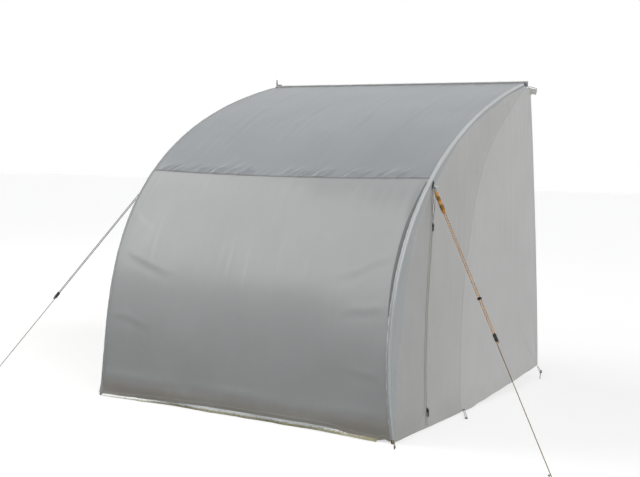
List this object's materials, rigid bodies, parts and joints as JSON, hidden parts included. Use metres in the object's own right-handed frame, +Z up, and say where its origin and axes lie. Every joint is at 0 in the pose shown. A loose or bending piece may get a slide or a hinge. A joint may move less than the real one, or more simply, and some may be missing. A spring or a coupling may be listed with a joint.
{
  "type": "bicycle storage tent",
  "caption": "Lean-to cloth tent that hangs on an awning rail, held out by bent sleeved poles, guy ropes and pegs, with a curved front and a side wall whose zip opens a folding door.",
  "frame": {"origin": "on the ground, under the middle of the awning rail, in the plane of the wall that the tent hangs against", "axes": "+Z up; +Y into the wall that carries the rail; the tent reaches towards -Y; +X is the side with the zipped door"},
  "size_m": [3.6754, 2.3218, 2.2209],
  "materials": {
    "upper_cloth": "coated cloth, mid grey",
    "front_cloth": "coated cloth, mid grey",
    "wall_cloth": "coated cloth, light grey",
    "sleeve_cloth": "coated cloth, pale grey",
    "pale_cloth": "pale webbing and film",
    "black_web": "black webbing",
    "rope": "braided cord",
    "fibreglass": "pultruded glass fibre",
    "steel": "zinc-plated steel",
    "dark_steel": "dark steel wire",
    "black_plastic": "moulded plastic",
    "rubber": "elastic cord"
  },
  "bodies": {
    "tent": {"roof_panel": "upper_cloth", "rail_band": "upper_cloth", "front_panel": "front_cloth", "right_gore_panel": "wall_cloth", "right_mid_panel": "wall_cloth", "right_rear_panel": "wall_cloth", "left_front_panel": "wall_cloth", "left_rear_panel": "wall_cloth", "zip_half_fixed": "wall_cloth", "pole_sleeve_right": "sleeve_cloth", "pole_sleeve_left": "sleeve_cloth", "welt_cord": "pale_cloth", "corner_tab_right": "pale_cloth", "guy_strap_right": "black_web", "guy_strap_left": "black_web", "corner_cord_right": "black_web", "guy_rope_right": "rope", "guy_rope_left": "rope", "pole_right_1": "fibreglass", "pole_right_2": "fibreglass", "pole_right_3": "fibreglass", "pole_left_1": "fibreglass", "pole_left_2": "fibreglass", "pole_left_3": "fibreglass", "ferrule_right_1": "steel", "ferrule_right_2": "steel", "ferrule_left_1": "steel", "ferrule_left_2": "steel", "guy_ring_right": "steel", "guy_ring_left": "steel", "guy_peg_right": "dark_steel", "guy_peg_left": "dark_steel", "hem_peg_right_front": "dark_steel", "hem_peg_right_middle": "dark_steel", "hem_peg_right_rear": "dark_steel", "hem_peg_left_front": "dark_steel", "hem_peg_left_middle": "dark_steel", "hem_peg_left_rear": "dark_steel", "pole_tip_right": "black_plastic", "pole_tip_left": "black_plastic", "pole_foot_right": "black_plastic", "pole_foot_left": "black_plastic", "corner_hook_right": "black_plastic", "rail_stop_left": "black_plastic", "peg_loop_right_front": "rubber", "peg_loop_right_middle": "rubber", "peg_loop_right_rear": "rubber", "peg_loop_left_front": "rubber", "peg_loop_left_middle": "rubber", "peg_loop_left_rear": "rubber"},
    "door": {"door_flap": "wall_cloth", "zip_half_flap": "wall_cloth"},
    "zip_slider_top": {"zip_slider_top": "black_plastic"},
    "zip_pull_top": {"zip_pull_top": "black_plastic"},
    "zip_slider_bottom": {"zip_slider_bottom": "black_plastic"},
    "zip_pull_bottom": {"zip_pull_bottom": "black_plastic"},
    "mud_flap": {"mud_flap": "pale_cloth"},
    "guy_runner_right": {"guy_runner_right": "black_plastic"},
    "guy_runner_left": {"guy_runner_left": "black_plastic"}
  },
  "joints": [
    {"name": "door_fold", "type": "hinge", "parent": "tent", "child": "door", "pos_m": [1.01734, -1.12906, 0.01403], "axis": [-0.0488, -0.2266, 0.9728], "range_deg": [0, 145]},
    {"name": "zip_slider_top_run", "type": "slide", "parent": "door", "child": "zip_slider_top", "axis": [-0.0041, 0.0919, 0.9958], "range_m": [-0.4, 0.185]},
    {"name": "zip_pull_top_swing", "type": "hinge", "parent": "zip_slider_top", "child": "zip_pull_top", "pos_m": [0.9587, -1.48603, 1.10508], "axis": [-0.0949, -0.9913, 0.0911], "range_deg": [0, 170]},
    {"name": "zip_slider_bottom_run", "type": "slide", "parent": "door", "child": "zip_slider_bottom", "axis": [-0.0616, 0.068, 0.9958], "range_m": [-0.06, 0.5]},
    {"name": "zip_pull_bottom_swing", "type": "hinge", "parent": "zip_slider_bottom", "child": "zip_pull_bottom", "pos_m": [0.99499, -1.56552, 0.09858], "axis": [-0.0902, -0.994, 0.0623], "range_deg": [0, 170]},
    {"name": "mud_flap_fold", "type": "hinge", "parent": "tent", "child": "mud_flap", "pos_m": [-0.925, -1.96646, 0.01638], "axis": [-1, 0.0002, -0.0064], "range_deg": [0, 85]},
    {"name": "guy_runner_right_run", "type": "slide", "parent": "tent", "child": "guy_runner_right", "axis": [-0.53, 0.3891, 0.7535], "range_m": [0, 0.35]},
    {"name": "guy_runner_left_run", "type": "slide", "parent": "tent", "child": "guy_runner_left", "axis": [0.4989, 0.3587, 0.7889], "range_m": [0, 0.35]}
  ]
}
